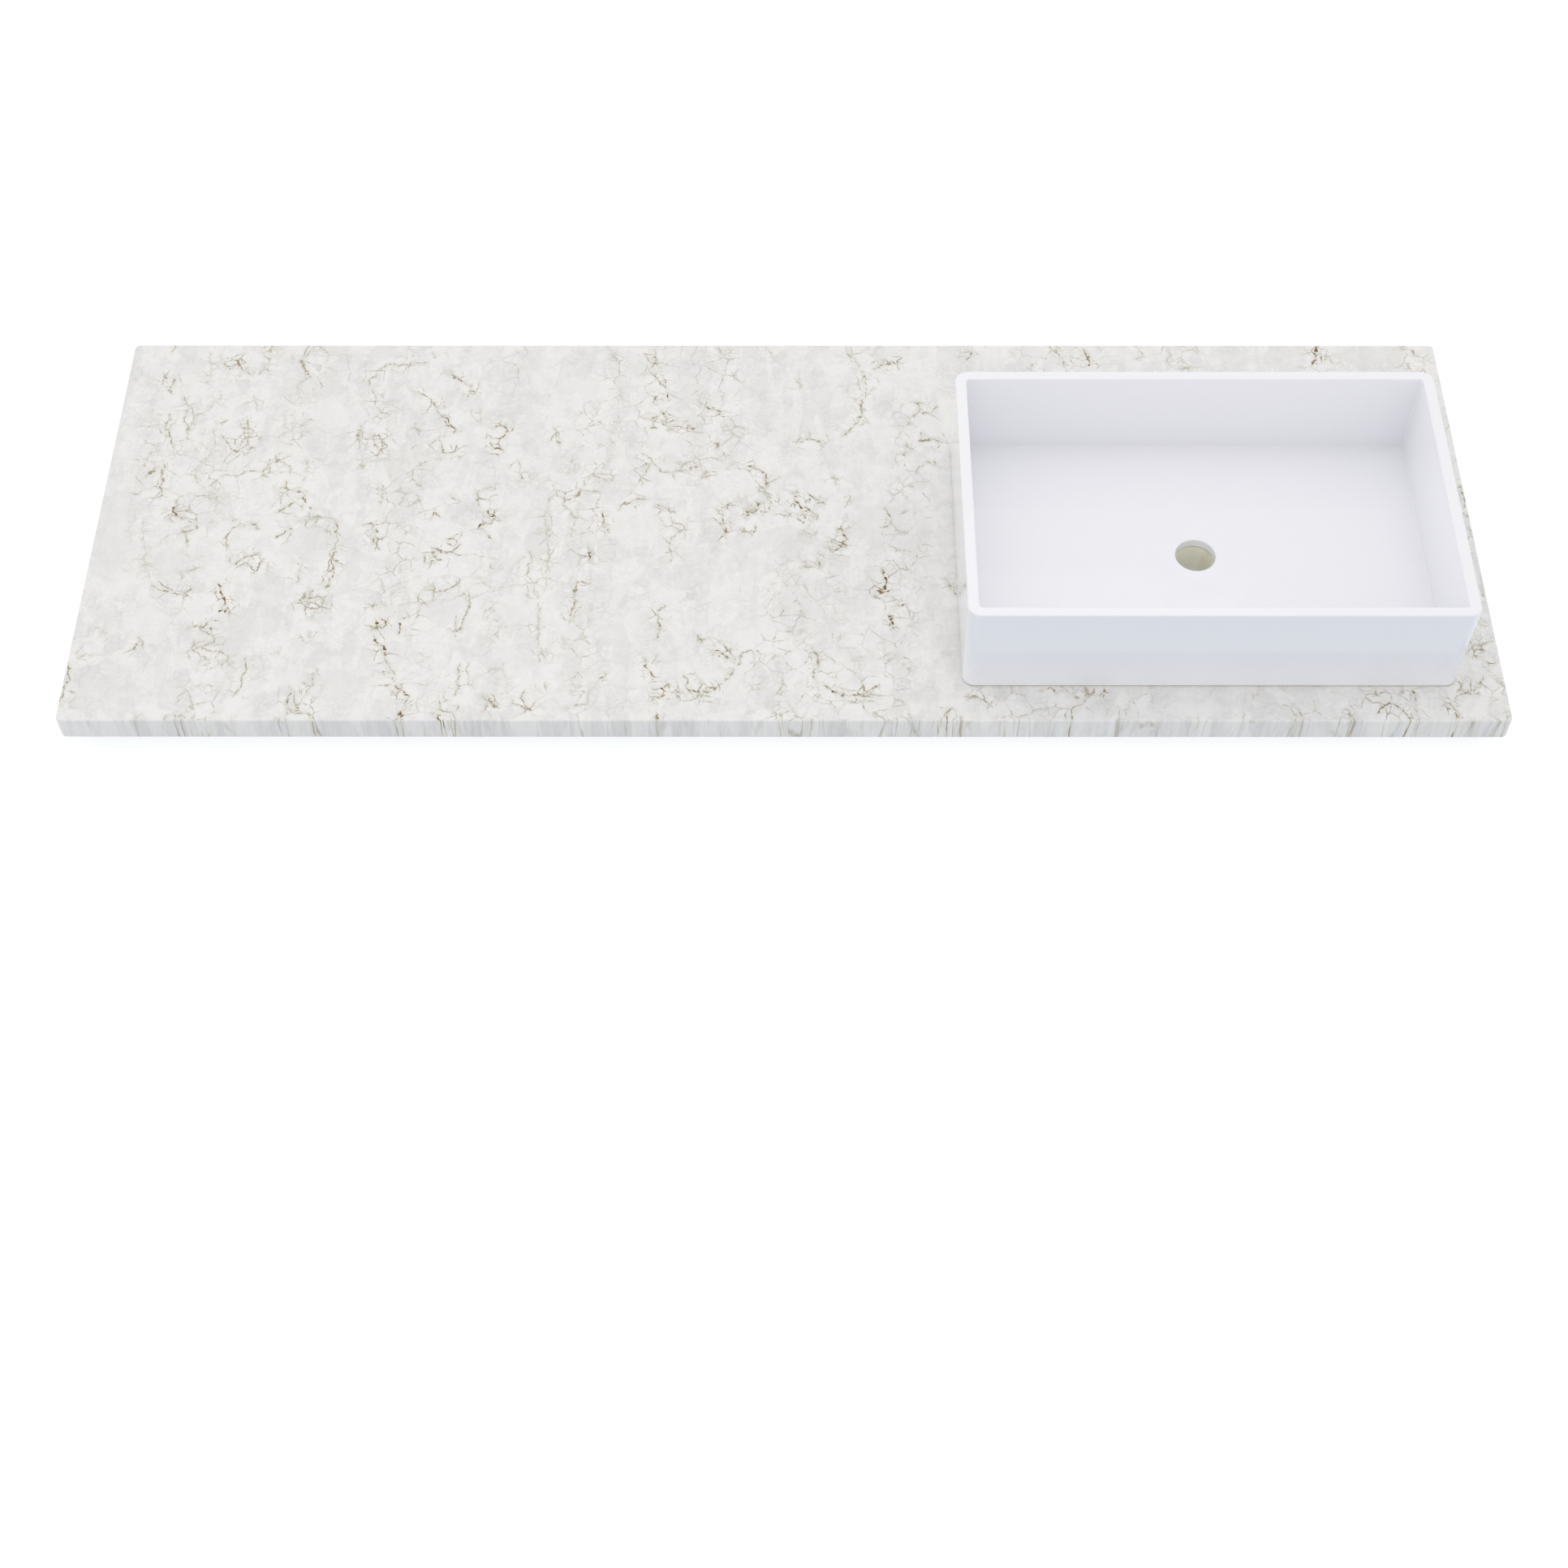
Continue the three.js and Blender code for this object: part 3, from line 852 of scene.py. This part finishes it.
def smooth(share):
    """3 t^2 - 2 t^3 of a share t held between 0 and 1."""
    share = np.clip(share, 0, 1)
    return share ** 2 * (3 - 2 * share)


def vein_field(places):
    """For each place three numbers from the nearest vein: signed distance, distance, and darkness.

    The distance is to the nearest of the vein's straight runs, the sign says which side of that run, and the
    darkness fades out over the last stretch to both ends of the vein.
    """
    field = np.tile([FIELD_REACH, FIELD_REACH, 0.0], (len(places), 1))
    for darkness, *points in VEINS:
        points = np.array(points) / 1000
        runs = np.diff(points, axis=0)
        lengths = np.hypot(*runs.T)
        starts = np.concatenate([[0], np.cumsum(lengths)])
        for point, run, length, start in zip(points, runs, lengths, starts):
            away = places - point
            share = np.clip(away @ run / length ** 2, 0, 1)
            distance = np.hypot(*(away - share[:, None] * run).T)
            side = np.sign(run[0] * away[:, 1] - run[1] * away[:, 0])
            gone = start + share * length
            fade = smooth(gone / VEIN_END) * smooth((starts[-1] - gone) / VEIN_END)
            nearer = distance < field[:, 1]
            found = np.stack([side * distance, distance, darkness * fade], 1)
            field[nearer] = found[nearer]
    return field


def lump_field(places):
    """For each place: how deep it lies in the grey lump and in the pale lump that hold it deepest.

    The depth is 1 less the distance from the lump's middle as a share of its half widths.
    """
    def depth(lumps):
        x, y, half_x, half_y = np.array(lumps).T[:, :, None] / 1000
        return (1 - np.hypot((places[:, 0] - x) / half_x, (places[:, 1] - y) / half_y)).max(0)
    grey, pale = depth(GREY_LUMPS), depth(PALE_LUMPS)
    return np.clip(np.stack([grey, pale, np.zeros(len(places))], 1), -1, 1)


def add_field(piece, name, values):
    """Three numbers at each vertex, for the material to read."""
    attribute = piece.data.attributes.new(name, "FLOAT_VECTOR", "POINT")
    attribute.data.foreach_set("vector", values.astype(np.float32).ravel())


def sealant_ring(outline_at, width, low, high):
    """A flat ring of sealant whose two edges dip in by a half sine between its faces."""
    share = np.linspace(0, 1, ROUND_STEPS + 1)
    dip = SEALANT_DIP * np.sin(math.pi * share)
    height = low.z + share * (high.z - low.z)
    middle = np.array([(low.x + high.x) / 2, (low.y + high.y) / 2])
    outside = [raised(outline_at(d) + middle, z) for d, z in zip(dip, height)]
    inside = [raised(outline_at(width - d) + middle, z) for d, z in zip(dip, height)]
    rings = np.array(outside + inside[::-1])
    return rings.reshape(-1, 3), grid_faces(len(rings), rings.shape[1], True)


def boxed(node):
    """Low and high corner of a node, and its half size."""
    low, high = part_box(node)
    return low, high, (high - low) / 2


slab_low, slab_high, slab_half = boxed("stone_top")
basin_low, basin_high, _ = boxed("basin")
drain_centre = ((basin_low + basin_high) / 2)[:2]
tap_centre = (drain_centre[0], (basin_high.y + slab_high.y) / 2)
slab_bores = [(drain_centre, BORE), (tap_centre, TAP_HOLE)]

stone = engineered_stone(slab_bores)
white = gloss_white()
milky_sealant = silicone()

slab_vertices, slab_faces = eased_plate(
    slab_low, slab_high, SLAB_ARRIS,
    lambda inset: rounded_rectangle(slab_half.x - inset, slab_half.y - inset, SLAB_CORNER - inset,
                                    FIELD_SPACING),
    slab_bores, FIELD_SPACING,
)
slab = new_piece("stone_slab", slab_vertices, slab_faces, stone, "stone_top", "stone")
add_field(slab, "vein", vein_field(slab_vertices[:, :2]))
add_field(slab, "lump", lump_field(slab_vertices[:, :2]))
new_piece("basin_shell", *section_shell(basin_low, basin_high), white, "basin", "basin")

plate_low, plate_high, plate_half = boxed("drain_backing_plate")
new_piece(
    "backing_plate",
    *eased_plate(
        plate_low, plate_high, PLATE_ARRIS,
        lambda inset: rounded_rectangle(plate_half.x - inset, plate_half.y - inset, PLATE_CORNER - inset),
        [(drain_centre, BORE)],
    ),
    stone, "drain_backing_plate", "stone",
)

bead_low, bead_high, bead_half = boxed("basin_sealant_bead")
new_piece(
    "basin_bead",
    *sealant_ring(
        lambda inset: rounded_rectangle(bead_half.x + BEAD_REACH - inset, bead_half.y + BEAD_REACH - inset,
                                        BEAD_CORNER - inset * (BEAD_CORNER - INNER_CORNER) / BEAD_WIDTH),
        BEAD_WIDTH + BEAD_REACH, bead_low, bead_high,
    ),
    milky_sealant, "basin_sealant_bead", "sealant",
)
seal_low, seal_high, seal_half = boxed("drain_seal_ring")
new_piece(
    "drain_seal",
    *sealant_ring(lambda inset: circle(seal_half.x - inset), SEAL_WIDTH, seal_low, seal_high),
    milky_sealant, "drain_seal_ring", "sealant",
)

ply = {True: plywood(True), False: plywood(False)}
for node in sorted(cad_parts):
    if not node.endswith("_rail"):
        continue
    low, high, half = boxed(node)
    new_piece(
        node.replace("_rail", "_ply"),
        *eased_plate(
            low, high, PLY_EASE,
            lambda inset: rounded_rectangle(half.x - inset, half.y - inset, 2 * PLY_EASE - inset),
        ),
        ply[half.x > half.y], node, "plywood",
    )


def studio():
    """Pale floor, sky-like world, one large soft lamp above and behind, and the photo's camera."""
    floor_mesh = bpy.data.meshes.new("floor")
    signs = [(-1, -1), (1, -1), (1, 1), (-1, 1)]
    corners = [(x * STAGE_HALF, y * STAGE_HALF, 0) for x, y in signs]
    floor_mesh.from_pydata(corners, [], [(0, 1, 2, 3)])
    floor_mesh.materials.append(studio_floor())
    floor = bpy.data.objects.new("floor", floor_mesh)
    bpy.context.scene.collection.objects.link(floor)

    bpy.context.scene.world = soft_sky()

    lamp = bpy.data.lights.new("soft_box", "AREA")
    lamp.shape = "SQUARE"
    lamp.size = LAMP_SIZE
    lamp.energy = LAMP_RADIANCE * math.pi * LAMP_SIZE ** 2
    lamp.color = LAMP_COLOUR
    lamp_object = bpy.data.objects.new("soft_box", lamp)
    lamp_object.location = LAMP_PLACE
    bpy.context.scene.collection.objects.link(lamp_object)

    camera = bpy.data.cameras.new("camera")
    camera.sensor_width = SENSOR
    camera.lens = SENSOR * FOCAL_PIXELS / PHOTO_PIXELS
    camera.clip_end = 100
    camera_object = bpy.data.objects.new("camera", camera)
    turn = (Matrix.Rotation(math.radians(CAMERA_YAW), 4, "Z")
            @ Matrix.Rotation(math.radians(90 - CAMERA_PITCH), 4, "X")
            @ Matrix.Rotation(math.radians(CAMERA_ROLL), 4, "Z"))
    camera_object.matrix_world = Matrix.Translation(CAMERA_PLACE) @ turn
    bpy.context.scene.collection.objects.link(camera_object)
    bpy.context.scene.camera = camera_object
    bpy.context.scene.view_settings.view_transform = "Standard"


studio()
